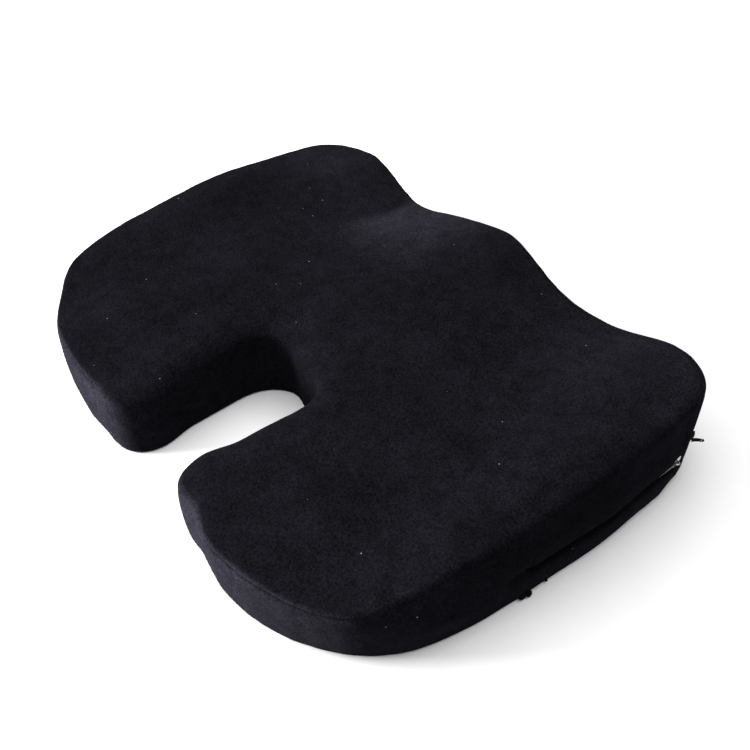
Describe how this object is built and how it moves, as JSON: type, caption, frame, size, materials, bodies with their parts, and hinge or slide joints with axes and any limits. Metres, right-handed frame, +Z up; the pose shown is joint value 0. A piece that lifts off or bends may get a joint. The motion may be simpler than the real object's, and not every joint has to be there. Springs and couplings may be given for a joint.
{
  "type": "seat cushion",
  "caption": "Contoured foam seat cushion with a tailbone cut-out open at the back, thigh channels in front and a zipped velour cover.",
  "frame": {"origin": "centre of the plan on the underside of the base panel, which rests on the seat", "axes": "+Z up, +Y to the back where the cut-out opens, -Y to the sitter's knees, +X to the sitter's left; the zip is in the side wall at -X"},
  "size_m": [0.4634, 0.3526, 0.0812],
  "materials": {
    "velour": "black short-pile velour",
    "base_cloth": "black woven cloth with fine grip dots",
    "zip_tape": "black woven polyester tape",
    "zip_teeth": "black nylon",
    "nickel": "satin nickel plate",
    "liner_cloth": "white knitted polyester",
    "foam": "open-cell polyurethane memory foam"
  },
  "bodies": {
    "cushion": {"foam_core": "foam", "inner_liner": "liner_cloth", "top_panel": "velour", "side_band": "velour", "zip_strip_upper": "velour", "zip_strip_lower": "velour", "base_panel": "base_cloth", "zip_tape_upper": "zip_tape", "zip_tape_lower": "zip_tape", "zip_teeth_upper": "zip_teeth", "zip_teeth_lower": "zip_teeth", "front_stop_upper": "zip_teeth", "front_stop_lower": "zip_teeth", "rear_stop": "zip_teeth", "zip_end_front": "zip_tape", "zip_end_rear": "zip_tape", "zip_tape_tail": "zip_tape"},
    "slider": {"zip_slider": "nickel"},
    "tab": {"pull_tab": "nickel"}
  },
  "joints": [
    {"name": "slider_travel", "type": "slide", "parent": "cushion", "child": "slider", "axis": [0, 1, 0], "range_m": [0, 0.138]},
    {"name": "tab_swing", "type": "hinge", "parent": "slider", "child": "tab", "pos_m": [-0.231, -0.117, 0.03], "axis": [0, 0, 1], "range_deg": [0, 150]}
  ]
}
